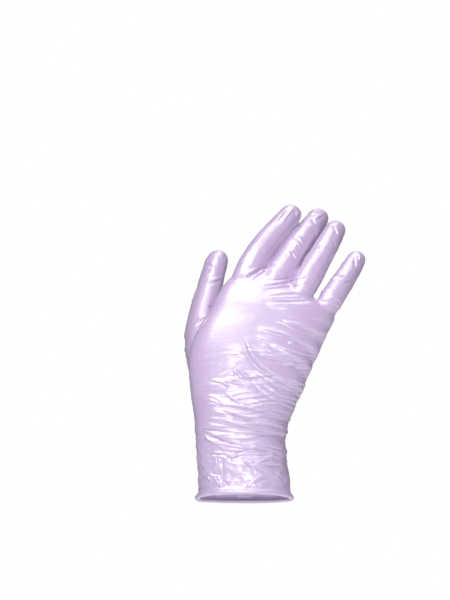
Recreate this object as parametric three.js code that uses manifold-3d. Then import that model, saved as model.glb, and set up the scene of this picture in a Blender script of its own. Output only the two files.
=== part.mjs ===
// A nitrile exam glove for the right hand, in the form that it takes when worn: one dipped film, hollow
// from the rolled bead round its cuff to its five fingertips.
// Millimetres. +Z runs from the cuff up the hand, the back of the hand faces -Y, and the thumb is at -X.
// The origin is the centre of the cuff's opening.
import * as THREE from "three";
import { mergeVertices } from "three/addons/utils/BufferGeometryUtils.js";
import Module from "manifold-3d";

const { abs, cos, exp, hypot, max, min, sign, sin } = Math;
const { degToRad, radToDeg } = THREE.MathUtils;
const wasm = await Module();
wasm.setup();

// The film, its rolled edge, and how far a full fold stands out of it
const WALL = 1;
const BEAD_RADIUS = 1.5;
const FOLD_HEIGHT = 1.5;

// The sleeve: SLEEVE_LENGTH runs along Z from the cuff's edge to the web beside the index finger
const SLEEVE_LENGTH = 154;
const CUFF_WIDTH = 61;
const CUFF_DEPTH = 45;
const WRIST_WIDTH = 59;
const WRIST_DEPTH = 41;
const PALM_WIDTH = 86;
const PALM_DEPTH = 35;
const KNUCKLE_WIDTH = 77;
const KNUCKLE_DEPTH = 27;

// The fingers: each length runs from the joint inside the palm, along the bent finger, to its tip
const THUMB_LENGTH = 119;
const INDEX_LENGTH = 81.5;
const MIDDLE_LENGTH = 96.5;
const RING_LENGTH = 79.5;
const LITTLE_LENGTH = 62;
const THUMB_WIDTH = 20;
const THUMB_DEPTH = 16.5;
const FINGER_WIDTH = 17.5;
const FINGER_DEPTH = 16.5;
const RING_WIDTH = 16.6;
const RING_DEPTH = 16;
const LITTLE_WIDTH = 15;
const LITTLE_DEPTH = 14.5;

// Cross-sections of the sleeve from the cuff to the webs. Each centre is x, a share of PALM_WIDTH, y, a share
// of PALM_DEPTH, and up, a share of SLEEVE_LENGTH. lean turns the section towards the little finger and curl
// towards the palm, in degrees.
const SECTIONS = [
  { up: 0.0, x: 0.0, y: 0.0, wide: CUFF_WIDTH, deep: CUFF_DEPTH, lean: 0, curl: 0 },
  { up: 0.08, x: -0.005, y: 0.0, wide: CUFF_WIDTH, deep: 0.98 * CUFF_DEPTH, lean: 0, curl: 0 },
  { up: 0.19, x: -0.026, y: 0.0, wide: WRIST_WIDTH, deep: 1.03 * WRIST_DEPTH, lean: 0, curl: 0 },
  { up: 0.27, x: -0.03, y: 0.0, wide: WRIST_WIDTH, deep: WRIST_DEPTH, lean: 0, curl: 0 },
  { up: 0.34, x: -0.022, y: 0.01, wide: 1.05 * WRIST_WIDTH, deep: 0.97 * WRIST_DEPTH, lean: 1, curl: 2 },
  { up: 0.41, x: -0.008, y: 0.03, wide: 0.79 * PALM_WIDTH, deep: 1.06 * PALM_DEPTH, lean: 2, curl: 4 },
  { up: 0.51, x: 0.018, y: 0.07, wide: 0.885 * PALM_WIDTH, deep: 1.02 * PALM_DEPTH, lean: 3, curl: 5 },
  { up: 0.61, x: 0.05, y: 0.11, wide: 0.95 * PALM_WIDTH, deep: PALM_DEPTH, lean: 5, curl: 5 },
  { up: 0.7, x: 0.115, y: 0.14, wide: 0.96 * PALM_WIDTH, deep: 0.94 * PALM_DEPTH, lean: 8, curl: 6 },
  { up: 0.77, x: 0.18, y: 0.17, wide: 1.03 * KNUCKLE_WIDTH, deep: 1.14 * KNUCKLE_DEPTH, lean: 11, curl: 7 },
  { up: 0.83, x: 0.235, y: 0.19, wide: 1.02 * KNUCKLE_WIDTH, deep: 1.06 * KNUCKLE_DEPTH, lean: 14, curl: 9 },
  { up: 0.88, x: 0.28, y: 0.25, wide: 0.97 * KNUCKLE_WIDTH, deep: 0.93 * KNUCKLE_DEPTH, lean: 18, curl: 12 },
  { up: 0.93, x: 0.31, y: 0.36, wide: 0.76 * KNUCKLE_WIDTH, deep: 0.62 * KNUCKLE_DEPTH, lean: 28, curl: 18 },
  { up: 0.98, x: 0.285, y: 0.5, wide: 0.5 * KNUCKLE_WIDTH, deep: 0.3 * KNUCKLE_DEPTH, lean: 34, curl: 22 },
];

// The five fingers. x, y and z place the joint inside the palm that a finger springs from, as shares of
// PALM_WIDTH, PALM_DEPTH and SLEEVE_LENGTH. roll turns the finger about itself. joints are shares of its
// length where it bends, and lean and curl the way that each of its three stretches points, in degrees.
const FINGERS = [
  {
    name: "thumb", length: THUMB_LENGTH, width: THUMB_WIDTH, depth: THUMB_DEPTH,
    x: -0.225, y: 0.14, z: 0.433, roll: -65,
    joints: [0.435, 0.722], lean: [-12.5, 11, 14], curl: [19, 27, 21],
  },
  {
    name: "index", length: INDEX_LENGTH, width: FINGER_WIDTH, depth: FINGER_DEPTH,
    x: -0.05, y: 0.165, z: 0.908, roll: 0,
    joints: [0.432, 0.7], lean: [28, 36.5, 35.5], curl: [15.5, 28, 34],
  },
  {
    name: "middle", length: MIDDLE_LENGTH, width: FINGER_WIDTH, depth: FINGER_DEPTH,
    x: 0.17, y: 0.08, z: 0.888, roll: 0,
    joints: [0.467, 0.768], lean: [29.5, 31, 29.5], curl: [28, 43, 48.5],
  },
  {
    name: "ring", length: RING_LENGTH, width: RING_WIDTH, depth: RING_DEPTH,
    x: 0.39, y: 0.1, z: 0.855, roll: 0,
    joints: [0.478, 0.762], lean: [27.5, 26, 24], curl: [20.5, 36.5, 46.5],
  },
  {
    name: "little", length: LITTLE_LENGTH, width: LITTLE_WIDTH, depth: LITTLE_DEPTH,
    x: 0.595, y: 0.15, z: 0.805, roll: 0,
    joints: [0.457, 0.733], lean: [31, 29.5, 27], curl: [22, 35.5, 40],
  },
];

// How full a finger or the thumb is along its length, as shares of its width and depth
const GIRTHS = [
  { along: 0.0, finger: 0.74, thumb: 0.95 },
  { along: 0.15, finger: 1.06, thumb: 1.3 },
  { along: 0.3, finger: 1.07, thumb: 1.28 },
  { along: 0.47, finger: 1.01, thumb: 1.08 },
  { along: 0.62, finger: 0.98, thumb: 1.0 },
  { along: 0.76, finger: 0.93, thumb: 0.98 },
  { along: 0.9, finger: 0.86, thumb: 0.91 },
];

// Degrees once round the sleeve
const FULL_TURN = 360;

// The main folds in the sleeve. from and to are degrees round it, from the middle of the hand's back: 90 is
// the little finger's side, -90 the thumb's and 180 the palm. up is a share of SLEEVE_LENGTH where the fold
// starts, rise how much higher it ends, and width its half width. height is a share of FOLD_HEIGHT.
const FOLDS = [
  { from: -80, to: 80, up: 0.115, rise: 0.016, width: 0.017, height: 0.5 },
  { from: -100, to: -5, up: 0.178, rise: -0.02, width: 0.017, height: 0.7 },
  { from: 5, to: 105, up: 0.152, rise: 0.05, width: 0.018, height: 0.8 },
  { from: -105, to: 95, up: 0.215, rise: -0.006, width: 0.018, height: 1.0 },
  { from: -70, to: 65, up: 0.266, rise: -0.028, width: 0.016, height: 0.8 },
  { from: -110, to: 110, up: 0.302, rise: -0.008, width: 0.018, height: 1.0 },
  { from: -85, to: 70, up: 0.344, rise: 0.008, width: 0.016, height: 0.6 },
  { from: -60, to: 105, up: 0.4, rise: -0.034, width: 0.019, height: 0.9 },
  { from: -45, to: 95, up: 0.455, rise: -0.04, width: 0.018, height: 0.7 },
  { from: 0, to: 95, up: 0.575, rise: -0.11, width: 0.024, height: 0.8 },
  { from: 4, to: 95, up: 0.68, rise: -0.13, width: 0.024, height: 1.0 },
  { from: 12, to: 105, up: 0.715, rise: -0.07, width: 0.024, height: 0.9 },
  { from: 12, to: 105, up: 0.775, rise: -0.03, width: 0.022, height: 0.8 },
  { from: 105, to: 250, up: 0.128, rise: 0.012, width: 0.019, height: 0.8 },
  { from: 100, to: 262, up: 0.195, rise: 0.016, width: 0.019, height: 0.9 },
  { from: 110, to: 250, up: 0.266, rise: 0.006, width: 0.019, height: 1.0 },
  { from: 105, to: 240, up: 0.335, rise: 0.014, width: 0.019, height: 0.9 },
  { from: 100, to: 195, up: 0.42, rise: -0.02, width: 0.02, height: 0.9 },
  { from: 100, to: 205, up: 0.51, rise: 0.02, width: 0.024, height: 0.8 },
  { from: 100, to: 190, up: 0.6, rise: 0.03, width: 0.024, height: 0.8 },
  { from: 105, to: 235, up: 0.74, rise: 0.03, width: 0.024, height: 0.9 },
];

// How finely the surface is cut. RINGS gives how many rings lie below each share of the sleeve's length.
const SLEEVE_SIDES = 38;
const FINGER_SIDES = 13;
const RINGS = [
  { below: 0.46, rings: 24 },
  { below: 0.86, rings: 16 },
  { below: SECTIONS.at(-1).up, rings: 6 },
];
const BEAD_RINGS = 4;
const STRETCH_RINGS = 8;
const TIP_RINGS = 4;

// How full sections, fingertips and the ends of folds are: 1 gives ellipses and half circles, less fuller
const SECTION_FULLNESS = 0.9;
const TIP_FULLNESS = 0.8;
const FOLD_END_FULLNESS = 0.6;

// A column of a table at a place between its rows, along a smooth curve through them.
function between(rows, key, column, at) {
  const last = rows.length - 1;
  const next = rows.findIndex((row) => row[key] > at);
  const i = next < 1 ? last - 1 : next - 1;
  const [start, end] = [rows[i], rows[i + 1]];
  const slope = (k) => {
    const [a, b] = [rows[max(0, k - 1)], rows[min(last, k + 1)]];
    return (b[column] - a[column]) / (b[key] - a[key]);
  };
  const span = end[key] - start[key];
  const t = (at - start[key]) / span;
  const [t2, t3] = [t * t, t * t * t];
  return (
    (2 * t3 - 3 * t2 + 1) * start[column] +
    (t3 - 2 * t2 + t) * span * slope(i) +
    (3 * t2 - 2 * t3) * end[column] +
    (t3 - t2) * span * slope(i + 1)
  );
}

// The way that something points when it leans towards the little finger and curls towards the palm.
function pointing(lean, curl) {
  const [a, b] = [degToRad(lean), degToRad(curl)];
  return new THREE.Vector3(sin(a) * cos(b), sin(b), cos(a) * cos(b));
}

// A frame across a tube that points along: across runs towards the little finger, inward towards the palm.
function frameAcross(along, lean, roll = 0) {
  const level = new THREE.Vector3(cos(degToRad(lean)), 0, -sin(degToRad(lean)));
  const across = level.addScaledVector(along, -level.dot(along)).normalize();
  across.applyAxisAngle(along, degToRad(roll));
  return { across, inward: new THREE.Vector3().crossVectors(along, across) };
}

// The sleeve's cross-section at a share of its length.
function sectionAt(up) {
  const of = (column) => between(SECTIONS, "up", column, up);
  const centre = new THREE.Vector3(of("x") * PALM_WIDTH, of("y") * PALM_DEPTH, up * SLEEVE_LENGTH);
  const along = pointing(of("lean"), of("curl"));
  const half = { halfWidth: of("wide") / 2, halfDepth: of("deep") / 2 };
  return { centre, along, ...half, ...frameAcross(along, of("lean")) };
}

// A point on a section's outline, round it by an angle and standing out from it by a height.
function outlinePoint({ centre, across, inward, halfWidth, halfDepth }, angle, height) {
  const [s, c] = [sin(angle), -cos(angle)];
  const full = (v) => sign(v) * abs(v) ** SECTION_FULLNESS;
  const steep = hypot(s * halfDepth, c * halfWidth);
  return centre
    .clone()
    .addScaledVector(across, halfWidth * full(s) + (height * s * halfDepth) / steep)
    .addScaledVector(inward, halfDepth * full(c) + (height * c * halfWidth) / steep);
}

function ringOf(section, sides, heightAt) {
  return Array.from({ length: sides }, (_, i) => {
    const angle = (2 * Math.PI * i) / sides;
    return outlinePoint(section, angle, heightAt(angle));
  });
}

// How far the folds lift the film at a share of the sleeve's length, round it by an angle.
function foldHeight(up, angle) {
  const turn = radToDeg(angle);
  let height = 0;
  for (const fold of FOLDS) {
    for (const round of [turn - FULL_TURN, turn]) {
      const share = (round - fold.from) / (fold.to - fold.from);
      if (share <= 0 || share >= 1) continue;
      const off = (up - fold.up - fold.rise * share) / fold.width;
      height += fold.height * FOLD_HEIGHT * exp(-off * off) * sin(Math.PI * share) ** FOLD_END_FULLNESS;
    }
  }
  return height;
}

// Joins rings of points into a closed solid, with a point to close each end.
function loft(rings, bottom, top) {
  const sides = rings[0].length;
  const points = [...rings.flat(), bottom, top];
  const [low, high] = [points.length - 2, points.length - 1];
  const triangles = [];
  for (let r = 0; r < rings.length - 1; r++) {
    for (let i = 0; i < sides; i++) {
      const [a, b] = [r * sides + i, r * sides + ((i + 1) % sides)];
      triangles.push(a, b, a + sides, b, b + sides, a + sides);
    }
  }
  const topRing = (rings.length - 1) * sides;
  for (let i = 0; i < sides; i++) {
    const next = (i + 1) % sides;
    triangles.push(low, next, i, high, topRing + i, topRing + next);
  }
  const geometry = new THREE.BufferGeometry().setFromPoints(points).setIndex(triangles);
  const merged = mergeVertices(geometry);
  return new wasm.Manifold(
    new wasm.Mesh({
      numProp: 3,
      vertProperties: merged.attributes.position.array,
      triVerts: new Uint32Array(merged.index.array),
    }),
  );
}

// The shares of the sleeve's length where its rings lie, above the bead.
function sleeveStations() {
  const stations = [(2 * BEAD_RADIUS) / SLEEVE_LENGTH];
  for (const { below, rings } of RINGS) {
    const start = stations.at(-1);
    for (let i = 1; i <= rings; i++) stations.push(start + ((below - start) * i) / rings);
  }
  return stations;
}

// The sleeve and palm, set in by the wall for the hollow. The outer one has the bead round its edge, and the
// hollow runs out below that edge.
function sleeve(inset) {
  const rings = [];
  const ringAt = (up, standing) =>
    ringOf(sectionAt(up), SLEEVE_SIDES, (angle) => standing + foldHeight(up, angle) - inset);
  if (inset) {
    const below = sectionAt(0);
    below.centre.z -= 2 * BEAD_RADIUS;
    rings.push(ringOf(below, SLEEVE_SIDES, () => -inset));
  } else {
    for (let i = 0; i < BEAD_RINGS; i++) {
      const turn = (Math.PI * i) / BEAD_RINGS;
      rings.push(ringAt((BEAD_RADIUS * (1 - cos(turn))) / SLEEVE_LENGTH, BEAD_RADIUS * sin(turn)));
    }
  }
  rings.push(...sleeveStations().map((up) => ringAt(up, 0)));
  const last = sectionAt(SECTIONS.at(-1).up);
  const top = last.centre.clone().addScaledVector(last.along, last.halfDepth / 2 - inset);
  const bottom = new THREE.Vector3(0, 0, rings[0][0].z);
  return loft(rings, bottom, top);
}

// The points along a finger's middle where it starts, bends and ends.
function fingerLine(finger) {
  const shares = [0, ...finger.joints, 1];
  const start = new THREE.Vector3(finger.x * PALM_WIDTH, finger.y * PALM_DEPTH, finger.z * SLEEVE_LENGTH);
  const points = [start];
  finger.lean.forEach((lean, i) => {
    const step = (shares[i + 1] - shares[i]) * finger.length;
    points.push(points[i].clone().addScaledVector(pointing(lean, finger.curl[i]), step));
  });
  return points;
}

// One finger, set in by the wall for the hollow: rings along a smooth line, closed by a round tip.
function fingerTube(finger, inset) {
  const line = new THREE.CatmullRomCurve3(fingerLine(finger), false, "centripetal");
  const length = finger.length - inset;
  const tipLength = finger.width / 2 - inset;
  const leanAt = (share) => finger.lean[share < finger.joints[0] ? 0 : share < finger.joints[1] ? 1 : 2];
  const ringAt = (distance, closing) => {
    const share = distance / finger.length;
    const column = finger.name === "thumb" ? "thumb" : "finger";
    const girth = between(GIRTHS, "along", column, min(share, GIRTHS.at(-1).along)) * closing;
    const along = line.getTangentAt(share);
    return ringOf(
      {
        centre: line.getPointAt(share),
        halfWidth: girth * (finger.width / 2 - inset),
        halfDepth: girth * (finger.depth / 2 - inset),
        ...frameAcross(along, leanAt(share), finger.roll),
      },
      FINGER_SIDES,
      () => 0,
    );
  };
  const rings = [];
  for (let i = 0; i < STRETCH_RINGS; i++) {
    rings.push(ringAt(((length - tipLength) * i) / STRETCH_RINGS, 1));
  }
  for (let i = 0; i < TIP_RINGS; i++) {
    const turn = (Math.PI / 2) * (i / TIP_RINGS);
    rings.push(ringAt(length - tipLength * (1 - sin(turn)), cos(turn) ** TIP_FULLNESS));
  }
  return loft(rings, line.getPointAt(0), line.getPointAt(length / finger.length));
}

// The whole hand shape as one solid, set in by the wall for the hollow.
function handForm(inset) {
  return FINGERS.reduce((hand, finger) => hand.add(fingerTube(finger, inset)), sleeve(inset));
}

function glove() {
  const mesh = handForm(0).subtract(handForm(WALL)).getMesh();
  const geometry = new THREE.BufferGeometry()
    .setAttribute("position", new THREE.BufferAttribute(mesh.vertProperties, 3))
    .setIndex(new THREE.BufferAttribute(mesh.triVerts, 1));
  geometry.computeVertexNormals();
  const film = new THREE.MeshStandardMaterial({ color: 0xc6b2da, roughness: 0.38, metalness: 0.1 });
  const made = new THREE.Mesh(geometry, film);
  made.name = "glove";
  return made;
}

const part = new THREE.Group();
part.add(glove());

export default part;
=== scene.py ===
import math

import bmesh
import bpy
import numpy as np
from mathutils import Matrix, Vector, noise


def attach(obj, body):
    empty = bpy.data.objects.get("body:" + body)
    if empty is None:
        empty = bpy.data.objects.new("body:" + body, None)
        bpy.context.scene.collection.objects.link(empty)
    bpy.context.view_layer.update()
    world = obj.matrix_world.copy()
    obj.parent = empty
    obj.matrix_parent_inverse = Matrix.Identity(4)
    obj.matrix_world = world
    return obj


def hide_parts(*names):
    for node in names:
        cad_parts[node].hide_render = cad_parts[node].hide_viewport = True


MM = 0.001

# The camera looks along +Y at the back of the glove, tilted up by LOOK_UP. It aims at a place across the picture,
# up it and into it, where the picture's longer side spans LONG_SIDE. SENSOR is in millimetres, the rest in metres.
LOOK_UP = math.radians(10)
CAMERA_DISTANCE = 3.0
LONG_SIDE = 0.396
SENSOR = 36.0
AIM_ACROSS = -12.87 * MM
AIM_UP = 130.7 * MM
AIM_DEPTH = 12.0 * MM

# The film: how finely it is cut, how far its facets are rounded and the round parts refilled, how far it spans a
# hollow between the fingers' roots, and where the bead takes over from it
FILM_CELL = 0.5 * MM
FILM_TRIANGLES = 166000
LINING_TRIANGLES = 16000
FILM_THICKNESS = 0.6 * MM
ROUNDING = 2.2 * MM
REFILL = 4.5 * MM
WEB_SPAN = 6 * MM
WEB_BAND = (126, 152, 10)
WEB_FACING = (-0.1, 0.4)
CUT_HEIGHT = 3.4 * MM
WELD = 1e-5

# How many smoothing passes it takes to spread a value by one cell, and how many the folds' directions, the lining's
# and the bead's get
CELL_PASSES = 1.2
FOLD_PASSES = 4
LINING_PASSES = 2
BEAD_PASSES = 6

# The rolled bead round the cuff: its section runs from BEAD_START to BEAD_END degrees, and it droops at the glove's
# two sides. It swells and sways a little on its way round, in waves of a length of their own.
BEAD_RADIUS = 1.55 * MM
BEAD_OUT = 0.1 * MM
BEAD_UP = 1.6 * MM
BEAD_STEPS = 14
BEAD_START = 80
BEAD_END = -190
BEAD_DROOP = 0.9 * MM
DROOP_AT = 30 * MM
BEAD_SWELL = 0.12
SWELL_WAVE = 9 * MM
BEAD_SWAY = 0.25 * MM
SWAY_WAVE = 17 * MM

# Creases. Each has an easy slope on one side, and a steep one with a trough under it on the other. How high a full
# one stands, how far its sides, its trough and its reach go, in half widths, and how full its ends are. TROUGH_DEPTH
# is a share of its height.
CREASE_HEIGHT = 1.35 * MM
EASY_SIDE = 1.3
STEEP_SIDE = 0.7
TROUGH_WIDTH = 2.0
TROUGH_DEPTH = 0.35
CREASE_REACH = 5.0
CREASE_ENDS = 0.9

# Fine wrinkles, in millimetres: how far they stand out, how far apart gathers lie, how large crushed cells are, and
# how far above the bead they are all there. FINE_GATHERS is a share of WRIST_GATHERS.
WRIST_GATHERS = 1.15
WRIST_SPACING = 4.6
FINE_GATHERS = 0.45
FINE_SPACING = 2.5
CUFF_CRUSH = 1.15
CUFF_CELL = (13, 13, 9)
HAND_GATHERS = 0.8
HAND_SPACING = 7.5
FINGER_CRUSH = 0.3
FINGER_CELL = (7, 7, 9)
CUFF_MARGIN = 2.5

# How gathers wander up and down, as shares of their spacing over cells in millimetres, the patches in which they
# come and go, and how soon one tucks in under itself
WANDER = 1.7
WANDER_CELL = (44, 34, 30)
SMALL_WANDER = 0.45
SMALL_WANDER_CELL = (17, 15, 13)
PATCH_CELL = (30, 24, 6.5)
PATCH_EDGE = (-0.25, 0.35)
TUCK = 0.13

# The smaller dents in crushed film, beside the large ones
SMALL_DENTS = 0.5
SMALL_DENT_SIZE = 0.55

# Where the fine wrinkles lie, in millimetres up the glove or across it: the lowest and the highest place that has all
# of them, and how wide the edge is beyond both
CUFF_BAND = (5, 34, 7)
WRIST_BAND = (30, 92, 12)
HAND_BAND = (96, 146, 14)
STRETCHED_ACROSS = (-60, 14, 14)
STRETCHED_UP = (84, 142, 12)
THUMB_ACROSS = (-60, -16, 10)

# Where they fade in, from none to all: up the glove, on this side of THUMB_BACK and beyond FINGERS_BACK, which are
# places towards the palm, and by how far the film faces one way
THUMB_UP = (30, 44)
THUMB_BACK = 14
THUMB_DEEP = (-6, 4)
FINGERS_UP = (140, 156)
FINGERS_BACK = 22
FINGERS_DEEP = (0, 14)
FACING = (0.02, 0.4)

# How much of them is lost on the glove's stretched back, all over its back, and on the thumb's side
STRETCHED_LOSS = 0.93
FRONT_LOSS = 0.6
WRIST_FRONT_LOSS = 0.2
THUMB_LOSS = 0.75

# The finish: its two lilacs, how fine its clouds, specks and hair lines are to the metre, and how it shines
LILAC_DEEP = (0.5, 0.375, 0.595, 1)
LILAC_PALE = (0.56, 0.44, 0.64, 1)
CLOUDS = 38.0
SPECKS = 900.0
HAIR_LINES = (70.0, 70.0, 800.0)
HAIR_SHARPNESS = 5.0
HAIR_SHARE = 0.6
SPECK_SHARE = 0.4
BUMP_STRENGTH = 0.3
BUMP_DEPTH = 0.0002
FILM_ROUGHNESS = 0.34
CLOUD_ROUGHNESS = 0.08
FILM_IOR = 1.9
PEARL_ROUGHNESS = 0.28
PEARL_IOR = 1.7

# The studio. Each softbox has its place and size in metres and its power in watts, and points at LIGHT_TARGET.
FLOOR_LEVEL = -0.6
FLOOR_RADIUS = 9.0
FLOOR_SIDES = 96
FLOOR_CLOUDS = 6.0
FLOOR_ROUGHNESS = 0.8
FLOOR_DIM = (0.80, 0.80, 0.81, 1)
FLOOR_PALE = (0.84, 0.84, 0.85, 1)
FLOOR_GLOW = 0.36
GLOW_COLOUR = (0.96, 0.95, 1.0, 1)
SURROUND_COLOUR = (0.93, 0.91, 1.0, 1)
SURROUND_LIGHT = 0.19
LIGHT_TARGET = (0.01, 0.0, 0.1)
SOFTBOXES = [
    ("front", (-0.1, -2.2, 0.32), (1.0, 0.7), 20),
    ("top", (-0.58, -1.13, 1.78), (1.4, 1.15), 33),
    ("over", (0.2, 0.05, 2.0), (1.5, 1.0), 14),
    ("right", (1.9, -1.3, -0.2), (0.8, 1.2), 2),
    ("back", (0.3, 1.7, 1.7), (1.2, 0.8), 3),
]

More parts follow.
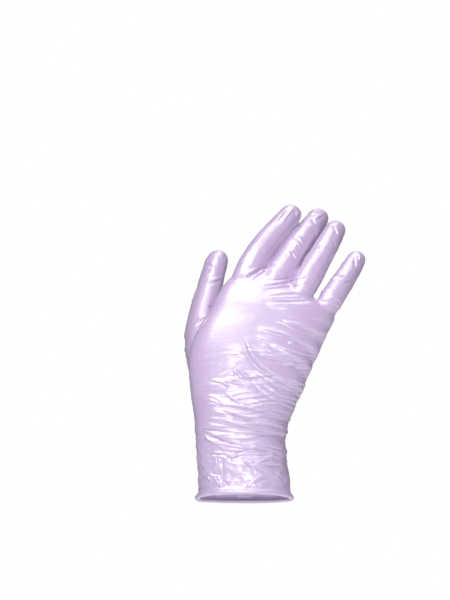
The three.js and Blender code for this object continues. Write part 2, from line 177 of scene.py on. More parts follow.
# Creases on the side that the picture shows. Each row gives, in millimetres across and up the picture from the
# cuff's middle, where the crease starts, passes and ends, then its half width and its height: a ridge is
# positive, a valley negative, and 1 is CREASE_HEIGHT.
CREASES = {
    "little finger's side of the back": [
        (1, 106.9, 11.6, 87.8, 38.6, 75.9, 2.3, 1.1),
        (-0.3, 103, 8.2, 86.5, 31.4, 73.9, 1.1, -0.5),
        (7.6, 111.5, 24.8, 108.9, 46.5, 99, 1.1, 0.8),
        (11.6, 108.9, 26.7, 106.3, 45.9, 97, 1, -0.5),
        (7.6, 106.3, 14.2, 104.3, 21.4, 101.6, 0.9, 0.6),
        (8.9, 96.4, 23.4, 92.7, 40.6, 91.1, 1, 0.8),
        (11.6, 93.7, 23.4, 90.4, 36.6, 88.4, 0.8, -0.4),
        (20.1, 100.3, 35.3, 96.4, 45.9, 93.1, 0.9, 0.6),
        (25.4, 88.4, 30, 87.8, 34, 89.1, 0.9, 0.8),
        (28.7, 102.3, 31.4, 102, 34.6, 101, 0.8, 0.7),
        (10.9, 101.6, 14.9, 99, 18.2, 96.4, 0.8, 0.5),
        (23.4, 97.7, 31.4, 94.4, 38.6, 90.4, 0.8, 0.4),
        (5, 81.2, 15.5, 73.9, 26.7, 66.7, 1, 0.5),
        (7.6, 84.5, 16.8, 78.5, 34, 70.6, 1, 0.5),
        (3.6, 77.9, 15.5, 67.3, 31.4, 58.7, 0.9, -0.6),
        (11.6, 79.2, 20.1, 75.2, 26.1, 72.6, 0.8, 0.4),
    ],
    "middle of the back": [
        (-5.6, 86.5, -1.7, 82.5, 3, 78.5, 0.8, 0.7),
        (-3, 83.8, 1, 79.2, 5, 77.2, 0.7, 0.6),
        (3.6, 81.2, 8.9, 79.2, 14.9, 77.2, 0.7, 0.5),
        (-7.6, 85.1, -4.3, 81.2, -1, 78.5, 0.7, 0.5),
        (-8.2, 83.2, -6.9, 80.5, -5, 78.5, 0.7, -0.4),
        (-14.9, 77.2, -6.3, 75.9, 3, 72.6, 0.7, 0.9),
        (-13.5, 77.9, -5.6, 77.2, 2.3, 73.9, 0.7, -0.5),
        (-22.8, 77.9, -17.5, 77.2, -13.5, 75.9, 0.7, 0.7),
        (-14.9, 76.6, -12.2, 74.9, -10.2, 72.6, 0.7, 0.7),
    ],
    "above the wrist": [
        (-12.9, 70.6, -6.9, 65.3, 1, 61.4, 1.3, 0.6),
        (-4.3, 67.3, 6.9, 64.7, 16.8, 62.7, 1, 0.5),
        (-28.1, 66, -22.1, 67.3, -15.5, 64, 0.6, 0.5),
        (-27.4, 63.4, -22.1, 64.7, -16.8, 62, 0.6, 0.5),
        (-26.7, 60.7, -21.4, 62, -16.8, 60.7, 0.6, 0.5),
        (-25.4, 58.1, -20.8, 58.7, -17.5, 61.4, 0.6, 0.5),
        (-14.9, 60.1, 3.6, 58.7, 23.4, 54.1, 0.8, -0.8),
        (-19.5, 62, -5, 61.4, 11.6, 58.1, 0.8, 0.6),
        (-15.5, 59.4, 5, 53.5, 26.7, 48.8, 1.6, 1),
        (-14.9, 58.1, 0.3, 52.1, 25.4, 46.9, 0.9, -0.7),
        (-22.8, 56.1, -16.2, 56.8, -10.2, 55.4, 0.9, 0.7),
        (-24.1, 54.1, -16.2, 54.1, -9.6, 52.8, 0.8, -0.4),
        (-24.1, 52.8, -9.6, 50.8, 8.9, 44.9, 1.2, 0.9),
        (-22.8, 50.2, -5.6, 47.5, 11.6, 44.2, 0.8, -0.6),
        (-3, 50.8, 7.6, 46.9, 26.1, 42.9, 1, 0.8),
        (-29.4, 47.5, -12.9, 48.2, 3.6, 46.2, 0.8, 0.6),
    ],
    "wrist": [
        (-31.4, 46.2, -20.8, 45.5, -8.2, 43.6, 0.9, -0.9),
        (-9.6, 43.6, 3.6, 42.9, 26.1, 42.2, 0.9, -0.9),
        (-28.1, 43.6, -22.1, 38.3, -13.5, 34.3, 0.7, 0.9),
        (-28.7, 44.9, -12.9, 38.3, 11.6, 33, 0.9, -0.9),
        (-14.9, 40.9, 0.3, 40.3, 11.6, 41.6, 1, 0.7),
        (-12.9, 38.9, 0.3, 38.3, 11.6, 40.3, 0.8, -0.4),
        (-19.5, 37.6, -6.3, 35, 8.9, 33, 0.9, 0.7),
        (-14.9, 33, -3, 32.3, 6.9, 33, 0.8, 0.6),
        (-19.5, 33.7, -16.8, 33, -13.5, 32.3, 0.7, -0.4),
        (-7.6, 29.7, 6.9, 33, 23.4, 29.7, 0.8, -0.7),
        (-26.1, 30.4, -19.5, 29.7, -12.2, 29.7, 0.7, -0.6),
        (-27.4, 31.7, -19.5, 31, -10.9, 31, 0.7, 0.5),
        (-12.2, 30.4, -11.2, 28.7, -10.2, 27.1, 0.6, 0.6),
        (-10.2, 30.4, -9.2, 28.4, -8.2, 26.4, 0.6, 0.6),
        (-7.6, 27.1, -5.3, 28.1, -3, 29, 0.7, -0.5),
        (-6.9, 27.7, 3.6, 29.4, 18.2, 28.4, 0.7, -0.6),
    ],
    "cuff": [
        (-14.9, 24.4, -8.2, 23.1, -5, 21.8, 0.7, -0.4),
        (-5.6, 22.4, -1, 22.4, 2.3, 19.8, 0.6, -0.5),
        (7.6, 24.4, 13.5, 26.4, 20.1, 29.7, 0.7, 0.7),
        (5, 23.1, 15.5, 23.8, 26.1, 23.1, 0.7, 0.6),
        (13.5, 22.4, 20.1, 22.1, 26.7, 22.4, 0.7, -0.5),
        (-0.3, 26.4, 3.6, 22.4, 6.9, 17.2, 0.6, -0.6),
        (7.6, 21.8, 11.6, 19.1, 16.8, 17.8, 0.7, -0.5),
        (5.6, 13.2, 12.2, 15.8, 18.8, 17.8, 0.7, 0.6),
        (3.6, 10.6, 11.6, 13.2, 18.8, 15.8, 0.7, -0.4),
        (-29.4, 25.7, -27.4, 22.4, -25.4, 19.8, 0.6, 0.6),
        (-25.4, 19.8, -20.1, 17.2, -14.2, 17.2, 0.7, -0.6),
        (-19.5, 28.4, -19.1, 23.1, -19.5, 18.5, 0.5, 0.5),
        (-17.5, 27.7, -17.2, 25.1, -17.5, 21.8, 0.5, 0.4),
        (-14.9, 27.1, -14.5, 19.8, -14.9, 11.9, 0.6, -0.6),
        (-29.4, 17.2, -25.4, 14.5, -21.4, 11.9, 0.6, 0.6),
        (-25.4, 15.8, -23.8, 14.2, -22.1, 12.5, 0.6, 0.5),
        (-20.1, 15.2, -18.2, 11.2, -14.9, 8.6, 0.6, 0.6),
        (-17.5, 15.8, -17.2, 13.2, -16.8, 10.6, 0.6, 0.5),
        (-18.8, 15.8, -17.5, 12.5, -16.2, 9.2, 0.6, -0.5),
        (-13.5, 11.9, -11.6, 10.2, -9.6, 9.2, 0.6, -0.4),
        (-11.6, 13.2, -10.2, 11.6, -8.9, 9.9, 0.6, 0.4),
        (-3, 9.2, 1, 11.9, 3.6, 13.2, 0.7, -0.4),
        (11.6, 10.6, 15.5, 11.9, 20.1, 11.2, 0.7, 0.4),
        (20.1, 18.5, 24.1, 15.8, 27.4, 11.9, 0.7, 0.3),
    ],
    "knuckles": [
        (41, 147.2, 25.6, 142.8, 10.2, 141, 1.2, 0.7),
        (43.2, 140.6, 27.9, 139.1, 12.4, 137.3, 1.3, -0.6),
        (44.4, 135.1, 30, 135.5, 14.6, 134, 1.2, 0.6),
        (12.2, 130, 26.7, 130, 44.6, 130, 0.7, -0.8),
        (13.5, 132, 30, 132.7, 36.6, 132, 0.8, 0.5),
        (13.5, 127.4, 26.7, 128, 43.2, 126.7, 0.8, 0.5),
        (14.2, 125.4, 22.1, 125.1, 30, 124.7, 0.7, -0.3),
        (49.2, 130, 56.4, 129.7, 61.7, 128, 0.7, -0.7),
        (53.1, 132.7, 59.7, 132, 64.4, 129.4, 0.8, 0.6),
        (53.1, 127.4, 58.4, 127.1, 61.7, 126.7, 0.7, -0.4),
        (26.7, 118.8, 39.9, 118.1, 53.1, 116.8, 0.9, -0.3),
        (26.7, 116.2, 36.6, 114.2, 48.5, 110.2, 0.9, 0.5),
        (30, 116.2, 39.9, 112.2, 53.1, 108.9, 0.9, 0.4),
        (23.4, 117.5, 36.6, 112.9, 53.8, 109.6, 1, -0.5),
    ],
    "index finger": [
        (-1, 145.9, 5, 149.8, 11.6, 153.1, 0.7, 0.7),
        (3, 145.9, 10.2, 151.1, 22.1, 155.8, 0.7, -0.6),
        (4.3, 144.5, 11.6, 149.2, 20.1, 153.8, 0.7, 0.5),
        (11.6, 144.5, 23.4, 144.5, 31.4, 145.9, 0.7, -0.7),
        (18.2, 140.6, 20.8, 140.9, 23.4, 141.2, 0.7, -0.3),
        (22.1, 182.2, 26.1, 188.1, 30, 192.1, 0.8, -0.6),
        (25.4, 182.2, 30, 188.8, 33.3, 191.4, 0.8, 0.5),
        (34, 191.4, 34.6, 188.8, 34.6, 186.1, 0.7, -0.4),
    ],
    "middle finger": [
        (32, 172.3, 35.3, 169.6, 37.3, 166.3, 0.7, 0.7),
        (34.6, 174.2, 38, 170.3, 39.9, 167.6, 0.7, 0.6),
        (30, 163.7, 32.7, 160.4, 34.6, 157.7, 0.7, -0.5),
        (28.7, 163.7, 30, 161.7, 31.4, 159.7, 0.7, 0.4),
        (44.6, 188.8, 47.2, 189.4, 49.8, 189.4, 0.7, 0.4),
        (48.5, 186.1, 51.2, 187.4, 53.8, 188.1, 0.7, 0.4),
        (45.2, 185.5, 46.9, 184.1, 48.5, 182.2, 0.7, -0.4),
    ],
    "ring finger": [
        (47.9, 178.2, 48.8, 176.2, 49.2, 173.6, 0.7, 0.4),
        (58.4, 182.2, 61.1, 178.2, 62.4, 173.6, 0.7, -0.6),
        (59.1, 170.3, 60.4, 168.3, 61.7, 166.3, 0.7, -0.4),
        (50.5, 168.3, 49.5, 166.3, 48.5, 164.3, 0.7, 0.4),
    ],
    "little finger": [
        (58.4, 144.5, 62.4, 146.5, 66.3, 146.5, 0.7, 0.6),
        (66.3, 141.9, 69.6, 143.2, 72.9, 143.9, 0.7, -0.5),
        (73.6, 159.7, 74.2, 155.8, 74.2, 151.8, 0.7, -0.6),
        (76.9, 161.7, 77.2, 158.7, 76.9, 155.8, 0.7, 0.5),
    ],
    "thumb": [
        (-24.1, 141.9, -18.8, 143.9, -14.9, 146.5, 0.7, 0.5),
        (-24.8, 140.6, -20.8, 143.2, -14.9, 144.5, 0.7, -0.5),
        (-25.4, 153.8, -22.8, 154.4, -21.4, 151.8, 0.7, -0.5),
        (-26.1, 149.8, -24.1, 150.8, -22.1, 151.1, 0.7, -0.4),
        (-24.1, 125.4, -22.4, 126.4, -20.8, 126.7, 0.7, -0.4),
        (-33.3, 112.9, -30, 116.8, -26.1, 120.1, 0.7, 0.5),
        (-32, 110.2, -27.4, 115.5, -24.1, 119.5, 0.7, 0.5),
    ],
}

# The palm side, in the same columns, across and straight up the glove
PALM_CREASES = [
    (-33, 66, -10, 70, 22, 63, 1.3, 1),
    (-34, 60, -6, 63, 26, 58, 1.1, -0.9),
    (-32, 52, -4, 55, 27, 53, 1.3, 0.9),
    (-30, 46, -2, 47, 24, 44, 1.0, -0.7),
    (-31, 38, -8, 41, 12, 36, 1.2, 0.9),
    (-4, 33, 12, 36, 28, 34, 1.0, 0.7),
    (-32, 80, -18, 84, -2, 79, 1.4, 0.8),
    (4, 76, 20, 80, 34, 73, 1.3, 0.8),
    (8, 86, 26, 91, 40, 84, 1.2, -0.7),
    (-6, 95, 18, 101, 44, 95, 1.1, 0.6),
    (6, 108, 26, 112, 48, 105, 1.1, 0.6),
    (2, 118, 26, 121, 54, 112, 1.0, -0.7),
    (-20, 112, -8, 124, 2, 134, 1.3, 0.8),
    (-24, 104, -12, 116, -4, 130, 1.2, -0.8),
    (-22, 92, -8, 104, 6, 112, 1.2, 0.6),
]


def picture_axes():
    """The way the camera looks and its upright, for a camera that looks up at the glove's back."""
    look = np.array([0.0, math.cos(LOOK_UP), math.sin(LOOK_UP)])
    upright = np.array([0.0, -math.sin(LOOK_UP), math.cos(LOOK_UP)])
    return look, upright


def add_camera():
    look, upright = picture_axes()
    data = bpy.data.cameras.new("camera")
    data.sensor_width = SENSOR
    data.lens = SENSOR * CAMERA_DISTANCE / LONG_SIDE
    data.clip_start, data.clip_end = 0.05, 100
    camera = bpy.data.objects.new("camera", data)
    bpy.context.scene.collection.objects.link(camera)
    aim = Vector((AIM_ACROSS, 0, 0)) + Vector(upright) * AIM_UP + Vector(look) * AIM_DEPTH
    camera.location = aim - Vector(look) * CAMERA_DISTANCE
    camera.rotation_euler = Vector(look).to_track_quat("-Z", "Y").to_euler()
    bpy.context.scene.camera = camera


# ---------------------------------------------------------------- meshes


def neighbours(mesh):
    """Each end of every edge, both ways round, and how many edges each point has."""
    edges = np.empty(len(mesh.edges) * 2, int)
    mesh.edges.foreach_get("vertices", edges)
    a, b = edges.reshape(-1, 2).T
    start, end = np.r_[a, b], np.r_[b, a]
    return start, end, np.bincount(start, minlength=len(mesh.vertices))


def points_of(mesh):
    points = np.empty(len(mesh.vertices) * 3)
    mesh.vertices.foreach_get("co", points)
    return points.reshape(-1, 3)


def set_points(mesh, points):
    mesh.vertices.foreach_set("co", points.ravel())
    mesh.update()


def normals_of(mesh):
    normals = np.empty(len(mesh.vertices) * 3)
    mesh.vertex_normals.foreach_get("vector", normals)
    return normals.reshape(-1, 3)


def smooth(values, links, passes, share=0.5):
    """Draws each point's value towards the mean of its neighbours' values."""
    start, end, count = links
    columns = values.reshape(len(values), -1).copy()
    for _ in range(passes):
        mean = np.stack([np.bincount(start, column[end], len(columns)) for column in columns.T], 1)
        columns += share * (mean / count[:, None] - columns)
    return columns.reshape(values.shape)


def passes_for(distance, cell):
    """How many smoothing passes carry a value over a distance."""
    return max(1, round(CELL_PASSES * (distance / cell) ** 2))


def round_off(mesh, cell):
    """Smooths the facets away, then refills what that took off the round parts."""
    links, sharp = neighbours(mesh), points_of(mesh)
    set_points(mesh, smooth(sharp, links, passes_for(ROUNDING, cell)))
    rounded, normals = points_of(mesh), normals_of(mesh)
    lost = np.sum((sharp - rounded) * normals, axis=1)
    lost = smooth(lost, links, passes_for(REFILL, cell))
    set_points(mesh, rounded + normals * lost[:, None])


def fill_webs(mesh, cell):
    """Draws the film straighter over the hollows between the fingers' roots."""
    links, points, normals = neighbours(mesh), points_of(mesh), normals_of(mesh)
    wide = smooth(points, links, passes_for(WEB_SPAN, cell))
    bridged = np.clip(np.sum((wide - points) * normals, axis=1), 0, None)
    height = points[:, 2] / MM
    bridged *= band(*WEB_BAND, height) * ease(*WEB_FACING, -normals[:, 1])
    bridged = smooth(bridged, links, passes_for(ROUNDING, cell))
    set_points(mesh, points + normals * bridged[:, None])


def outer_skin(node):
    """The CAD glove's outer surface, closed across the cuff."""
    bm = bmesh.new()
    bm.from_mesh(node.data)
    bmesh.ops.remove_doubles(bm, verts=bm.verts, dist=WELD)
    rim = [face for face in bm.faces if all(abs(v.co.z) < WELD for v in face.verts)]
    bmesh.ops.delete(bm, geom=rim, context="FACES_ONLY")
    top = max(bm.verts, key=lambda v: v.co.z)
    outer, waiting = {top}, [top]
    while waiting:
        for edge in waiting.pop().link_edges:
            for vert in edge.verts:
                if vert not in outer:
                    outer.add(vert)
                    waiting.append(vert)
    bmesh.ops.delete(bm, geom=[v for v in bm.verts if v not in outer], context="VERTS")
    bmesh.ops.holes_fill(bm, edges=[e for e in bm.edges if e.is_boundary], sides=0)
    bmesh.ops.recalc_face_normals(bm, faces=bm.faces)
    mesh = bpy.data.meshes.new("outer_skin")
    bm.to_mesh(mesh)
    bm.free()
    return mesh


def with_modifier(mesh, kind, **settings):
    """The mesh after one modifier."""
    holder = bpy.data.objects.new("holder", mesh)
    bpy.context.scene.collection.objects.link(holder)
    modifier = holder.modifiers.new(kind, kind)
    for key, value in settings.items():
        setattr(modifier, key, value)
    bpy.context.view_layer.update()
    evaluated = holder.evaluated_get(bpy.context.evaluated_depsgraph_get())
    made = bpy.data.meshes.new_from_object(evaluated)
    bpy.data.objects.remove(holder)
    return made


def cut_open(mesh):
    """Takes away what lies below CUT_HEIGHT, and leaves the cuff open there."""
    bm = bmesh.new()
    bm.from_mesh(mesh)
    geometry = [*bm.verts, *bm.edges, *bm.faces]
    bmesh.ops.bisect_plane(
        bm, geom=geometry, plane_co=(0, 0, CUT_HEIGHT), plane_no=(0, 0, 1), clear_inner=True, dist=1e-6
    )
    bm.to_mesh(mesh)
    bm.free()


# ---------------------------------------------------------------- folds


def line_through(start, middle, end, steps=20):
    """Points along the curve that leaves start, passes middle and arrives at end."""
    t = np.linspace(0, 1, steps + 1)[:, None]
    pull = 2 * middle - (start + end) / 2
    return (1 - t) ** 2 * start + 2 * t * (1 - t) * pull + t**2 * end


def crease_height(across, up, rows):
    """How far a table's creases lift the film, as shares of CREASE_HEIGHT, at points in its own millimetres."""
    place = np.stack([across, up], 1)
    lift = np.zeros(len(place))
    for x0, z0, x1, z1, x2, z2, half_width, height in rows:
        line = line_through(*np.array([[x0, z0], [x1, z1], [x2, z2]]))
        reach = CREASE_REACH * half_width
        near = np.all((place > line.min(0) - reach) & (place < line.max(0) + reach), axis=1)
        spot = place[near]
        best = np.full(len(spot), 1e9)
        along = np.zeros(len(spot))
        over = np.zeros(len(spot), bool)
        for i, (a, b) in enumerate(zip(line[:-1], line[1:])):
            step = b - a
            t = np.clip((spot - a) @ step / (step @ step), 0, 1)
            apart = spot - a - t[:, None] * step
            far = np.linalg.norm(apart, axis=1)
            closer = far < best
            best[closer] = far[closer]
            along[closer] = (i + t[closer]) / (len(line) - 1)
            over[closer] = (step[0] * apart[:, 1] - step[1] * apart[:, 0])[closer] * step[0] > 0
        q = best / half_width
        easy = np.exp(-q / EASY_SIDE)
        steep = np.exp(-((q / STEEP_SIDE) ** 2))
        steep += TROUGH_DEPTH * (steep - np.exp(-((q / TROUGH_WIDTH) ** 2)))
        profile = np.where(over == (height > 0), easy, steep)
        ends = np.sin(np.pi * np.clip(along, 0.001, 0.999)) ** CREASE_ENDS
        lift[near] += height * profile * ends
    return lift


def ripple(points, cell, shift):
    """Smooth noise from -1 to 1, in cells of the given size across, deep and up, in millimetres."""
    scaled = points / (np.array(cell) * MM) + shift
    return np.array([noise.noise(Vector(p)) for p in scaled])


def crushed(points, cell, shift):
    """Film crushed in every direction: sharp ridges at 0, with dents below them."""
    big = np.abs(ripple(points, cell, shift))
    small = np.abs(ripple(points, np.array(cell) * SMALL_DENT_SIZE, shift + 9))
    return -big - SMALL_DENTS * small


def gathers(points, spacing, shift):
    """Level folds one above another, from 0 to 1: each slopes out on its way down and tucks in under itself."""
    wander = WANDER * ripple(points, WANDER_CELL, shift)
    wander += SMALL_WANDER * ripple(points, SMALL_WANDER_CELL, shift + 3)
    turn = points[:, 2] / (spacing * MM) + wander
    turn -= np.floor(turn)
    full = ease(*PATCH_EDGE, ripple(points, PATCH_CELL, shift + 7))
    return full * (1 - turn) * ease(0, TUCK, turn)


def ease(low, high, value):
    """0 below low, 1 above high, and a smooth rise between them."""
    t = np.clip((value - low) / (high - low), 0, 1)
    return t * t * (3 - 2 * t)


def band(low, high, edge, value):
    """1 between low and high, and 0 beyond an edge of that width outside them."""
    return ease(low - edge, low, value) * (1 - ease(high, high + edge, value))


def fold_film(mesh):
    """Presses the creases and fine wrinkles into the film."""
    points, normals = points_of(mesh), normals_of(mesh)
    links = neighbours(mesh)
    normals = smooth(normals, links, FOLD_PASSES)
    normals /= np.linalg.norm(normals, axis=1)[:, None]
    look, upright = picture_axes()
    facing = -normals @ look
    front = ease(*FACING, facing)
    behind = ease(*FACING, normals[:, 1])
    x, y, z = points.T / MM
    up = points @ upright / MM
    rows = [row for table in CREASES.values() for row in table]
    lift = CREASE_HEIGHT * front * crease_height(x, up, rows)
    lift += CREASE_HEIGHT * behind * crease_height(x, z, PALM_CREASES)

    # How much fine wrinkling each place has: little on the glove's stretched back, most at the wrist and cuff
    stretched = front * band(*STRETCHED_ACROSS, x) * band(*STRETCHED_UP, z)
    thumb_side = band(*THUMB_ACROSS, x) * ease(*THUMB_UP, z) * ease(*THUMB_DEEP, THUMB_BACK - y)
    off_thumb = 1 - THUMB_LOSS * thumb_side
    wrist = band(*WRIST_BAND, z) * (1 - WRIST_FRONT_LOSS * front) * off_thumb
    hand = band(*HAND_BAND, z) * (1 - FRONT_LOSS * front) * off_thumb * (1 - STRETCHED_LOSS * stretched)
    above = ease(*FINGERS_UP, z)
    finger = above + ease(*FINGERS_DEEP, y - FINGERS_BACK) * (1 - above)
    level = gathers(points, WRIST_SPACING, shift=3.0)
    level += FINE_GATHERS * gathers(points, FINE_SPACING, shift=23.0)
    lift += MM * WRIST_GATHERS * level * wrist
    lift += MM * CUFF_CRUSH * crushed(points, CUFF_CELL, shift=31.0) * band(*CUFF_BAND, z)
    lift += MM * HAND_GATHERS * gathers(points, HAND_SPACING, shift=41.0) * hand
    lift += MM * FINGER_CRUSH * crushed(points, FINGER_CELL, shift=61.0) * np.clip(finger, 0, 1)
    lift *= ease(CUT_HEIGHT, CUT_HEIGHT + CUFF_MARGIN * MM, points[:, 2])
    set_points(mesh, points + normals * lift[:, None])


# ---------------------------------------------------------------- bead and lining


def boundary_ring(bm):
    """The film's open edge as a ring of points in order."""
    edges = {e for e in bm.edges if e.is_boundary}
    start = min((v for e in edges for v in e.verts), key=lambda v: (v.co.x, v.co.y))
    ring, edge = [start], next(e for e in start.link_edges if e in edges)
    while True:
        vert = edge.other_vert(ring[-1])
        if vert is start:
            return ring
        ring.append(vert)
        edge = next(e for e in vert.link_edges if e in edges and e is not edge)


def roll_bead(mesh):
    """Rolls the film's open edge outwards and under into the bead, and ends inside it, under the lining."""
    bm = bmesh.new()
    bm.from_mesh(mesh)
    ring = boundary_ring(bm)
    places = np.array([v.co for v in ring])
    before, after = np.roll(places, 1, 0), np.roll(places, -1, 0)
    out = np.cross(after - before, [0, 0, 1])
    out /= np.linalg.norm(out, axis=1)[:, None]
    if np.sum(out * places) < 0:
        out = -out
    for _ in range(BEAD_PASSES):
        out = (np.roll(out, 1, 0) + 2 * out + np.roll(out, -1, 0)) / 4
    wave = np.array([noise.noise(Vector(p) / SWELL_WAVE) for p in places])
    sway = np.array([noise.noise(Vector(p) / SWAY_WAVE + Vector((5, 5, 5))) for p in places])
    drop = BEAD_DROOP * np.clip(np.abs(places[:, 0]) / DROOP_AT, 0, 1) ** 3
    radius = BEAD_RADIUS * (1 + BEAD_SWELL * wave)
    previous = ring
    for i in range(1, BEAD_STEPS + 1):
        turn = math.radians(BEAD_START + (BEAD_END - BEAD_START) * i / BEAD_STEPS)
        reach = BEAD_OUT + radius * math.cos(turn)
        height = BEAD_UP + radius * math.sin(turn) + BEAD_SWAY * sway - drop
        spots = places + out * reach[:, None]
        spots[:, 2] = height
        row = [bm.verts.new(p) for p in spots]
        for j in range(len(row)):
            k = (j + 1) % len(row)
            bm.faces.new((previous[j], previous[k], row[k], row[j]))
        previous = row
    bmesh.ops.recalc_face_normals(bm, faces=bm.faces)
    bm.to_mesh(mesh)
    bm.free()


def thinned(mesh, triangles):
    """The same surface in at most so many triangles, with the small ones left where it folds."""
    now = sum(len(face.vertices) - 2 for face in mesh.polygons)
    return with_modifier(mesh, "DECIMATE", ratio=triangles / now) if triangles < now else mesh


def lining_of(film):
    """The film's inner side: a coarser copy of the outer one, set in by the film's thickness and turned over."""
    lining = thinned(film, LINING_TRIANGLES)
    links = neighbours(lining)
    normals = smooth(normals_of(lining), links, LINING_PASSES)
    set_points(lining, points_of(lining) - FILM_THICKNESS * normals)
    lining.flip_normals()
    return lining


def join_lining(film, lining):
    """Closes the film: its bead's inner edge meets the lining's edge."""
    bm = bmesh.new()
    bm.from_mesh(film)
    bm.from_mesh(lining)
    bmesh.ops.bridge_loops(bm, edges=[e for e in bm.edges if e.is_boundary])
    bmesh.ops.triangulate(bm, faces=[f for f in bm.faces if len(f.verts) > 4])
    bmesh.ops.recalc_face_normals(bm, faces=bm.faces)
    bm.to_mesh(film)
    bm.free()
    film.polygons.foreach_set("use_smooth", [True] * len(film.polygons))


def make_film(node):
    """The whole glove as one closed piece: its outer side, its bead and its lining."""
    cell = FILM_CELL
    mesh = with_modifier(outer_skin(node), "REMESH", mode="VOXEL", voxel_size=cell)
    round_off(mesh, cell)
    fill_webs(mesh, cell)
    cut_open(mesh)
    fold_film(mesh)
    mesh = thinned(mesh, FILM_TRIANGLES)
    lining = lining_of(mesh)
    roll_bead(mesh)
    join_lining(mesh, lining)
    film = bpy.data.objects.new("film", mesh)
    bpy.context.scene.collection.objects.link(film)
    return film


# ---------------------------------------------------------------- finish


class Wire:
    """One output in a material's nodes. Sums and products of wires become Math nodes."""

    def __init__(self, tree, socket):
        self.tree, self.socket = tree, socket

    def math(self, operation, first, second=0.0):
        return self.tree.add("Math", {"operation": operation}, [first, second])

    def __add__(self, other):
        return self.math("ADD", self, other)

    def __sub__(self, other):
        return self.math("SUBTRACT", self, other)

    def __rsub__(self, other):
        return self.math("SUBTRACT", other, self)

    def __mul__(self, other):
        return self.math("MULTIPLY", self, other)

    def __abs__(self):
        return self.math("ABSOLUTE", self)

    __radd__, __rmul__ = __add__, __mul__


class Finish:
    """A material made of nodes."""

    def __init__(self, name):
        self.material = bpy.data.materials.new(name)
        self.material.use_nodes = True
        self.nodes, self.links = self.material.node_tree.nodes, self.material.node_tree.links
        self.nodes.clear()

    def add(self, kind, settings, sockets, output=0):
        """One node: its settings first, then its sockets, by name or in order."""
        node = self.nodes.new("ShaderNode" + kind)
        for key, value in settings.items():
            setattr(node, key, value)
        pairs = sockets.items() if isinstance(sockets, dict) else enumerate(sockets)
        for key, value in pairs:
            if isinstance(value, Wire):
                self.links.new(value.socket, node.inputs[key])
            else:
                node.inputs[key].default_value = value
        return Wire(self, node.outputs[output]) if node.outputs else None

    def mix(self, share, low, high):
        """A colour between two colours."""
        return self.add("Mix", {"data_type": "RGBA"}, {0: share, 6: low, 7: high}, output=2)

    def scaled(self, place, size):
        return self.add("VectorMath", {"operation": "MULTIPLY"}, [place, size])

    def noise(self, place, scale, detail=2.0):
        sockets = {"Vector": place, "Scale": scale, "Detail": detail, "Roughness": 0.55}
        return self.add("TexNoise", {}, sockets)

    def surface(self, **sockets):
        shader = self.add("BsdfPrincipled", {}, {k.replace("_", " "): v for k, v in sockets.items()})
        self.add("OutputMaterial", {}, {"Surface": shader})
        return self.material


def pearl_nitrile():
    """Lilac nitrile with a pearl lustre: satin, a little cloudy, with hair-fine lines across it."""
    finish = Finish("pearl_nitrile")
    place = finish.add("TexCoord", {}, {}, output="Object")
    cloud = finish.noise(place, CLOUDS, detail=3.0)
    speck = finish.noise(place, SPECKS)
    lines = finish.noise(finish.scaled(place, HAIR_LINES), 1.0)
    hair = 1 - abs(lines - 0.5) * HAIR_SHARPNESS
    tint = finish.mix(cloud, LILAC_DEEP, LILAC_PALE)
    grain = hair * HAIR_SHARE + speck * SPECK_SHARE
    bump = finish.add("Bump", {}, {"Strength": BUMP_STRENGTH, "Distance": BUMP_DEPTH, "Height": grain})
    return finish.surface(
        Base_Color=tint,
        Roughness=cloud * CLOUD_ROUGHNESS + FILM_ROUGHNESS,
        IOR=FILM_IOR,
        Normal=bump,
        Coat_Weight=1.0,
        Coat_Roughness=PEARL_ROUGHNESS,
        Coat_IOR=PEARL_IOR,
    )


def pale_floor():
    """A matt, nearly white floor that glows a little, so that it lights the glove from below."""
    finish = Finish("pale_floor")
    place = finish.add("TexCoord", {}, {}, output="Object")
    tone = finish.noise(place, FLOOR_CLOUDS)
    return finish.surface(
        Base_Color=finish.mix(tone, FLOOR_DIM, FLOOR_PALE),
        Roughness=FLOOR_ROUGHNESS,
        Emission_Color=GLOW_COLOUR,
        Emission_Strength=FLOOR_GLOW,
    )


# ---------------------------------------------------------------- studio


def add_floor():
    bpy.ops.mesh.primitive_circle_add(
        vertices=FLOOR_SIDES, radius=FLOOR_RADIUS, fill_type="NGON", location=(0, 0, FLOOR_LEVEL)
    )
    floor = bpy.context.active_object
    floor.name = "floor"
    floor.data.materials.append(pale_floor())


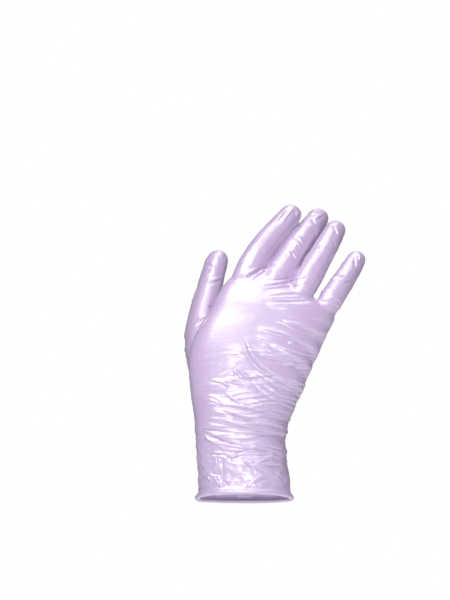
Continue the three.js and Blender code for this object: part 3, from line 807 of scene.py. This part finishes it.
def add_softbox(name, place, size, power):
    data = bpy.data.lights.new(name, "AREA")
    data.shape = "RECTANGLE"
    data.size, data.size_y = size
    data.energy = power
    lamp = bpy.data.objects.new(name, data)
    bpy.context.scene.collection.objects.link(lamp)
    lamp.location = place
    towards = Vector(LIGHT_TARGET) - Vector(place)
    lamp.rotation_euler = towards.to_track_quat("-Z", "Y").to_euler()
    lamp.visible_camera = False


def add_world():
    """A white surround for the camera, and a dimmer one for what lights the glove."""
    world = bpy.data.worlds.new("studio")
    bpy.context.scene.world = world
    world.use_nodes = True
    nodes, links = world.node_tree.nodes, world.node_tree.links
    nodes.clear()
    seen, lit = nodes.new("ShaderNodeBackground"), nodes.new("ShaderNodeBackground")
    seen.inputs["Color"].default_value = (1, 1, 1, 1)
    seen.inputs["Strength"].default_value = 1.0
    lit.inputs["Color"].default_value = SURROUND_COLOUR
    lit.inputs["Strength"].default_value = SURROUND_LIGHT
    ray, mix = nodes.new("ShaderNodeLightPath"), nodes.new("ShaderNodeMixShader")
    out = nodes.new("ShaderNodeOutputWorld")
    links.new(ray.outputs["Is Camera Ray"], mix.inputs[0])
    links.new(lit.outputs[0], mix.inputs[1])
    links.new(seen.outputs[0], mix.inputs[2])
    links.new(mix.outputs[0], out.inputs[0])


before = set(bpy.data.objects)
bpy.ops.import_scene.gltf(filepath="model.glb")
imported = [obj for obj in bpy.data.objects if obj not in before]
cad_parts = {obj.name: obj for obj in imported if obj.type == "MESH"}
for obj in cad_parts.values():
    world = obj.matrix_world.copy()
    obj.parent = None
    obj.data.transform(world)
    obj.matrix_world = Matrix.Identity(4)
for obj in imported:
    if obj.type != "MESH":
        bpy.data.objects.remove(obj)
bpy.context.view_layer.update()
add_camera()
add_world()
for softbox in SOFTBOXES:
    add_softbox(*softbox)
add_floor()

film = make_film(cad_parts["glove"])
film.data.materials.append(pearl_nitrile())
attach(film, "root")
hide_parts("glove")

scene = bpy.context.scene
scene.view_settings.view_transform = "Standard"
scene.view_settings.look = "None"
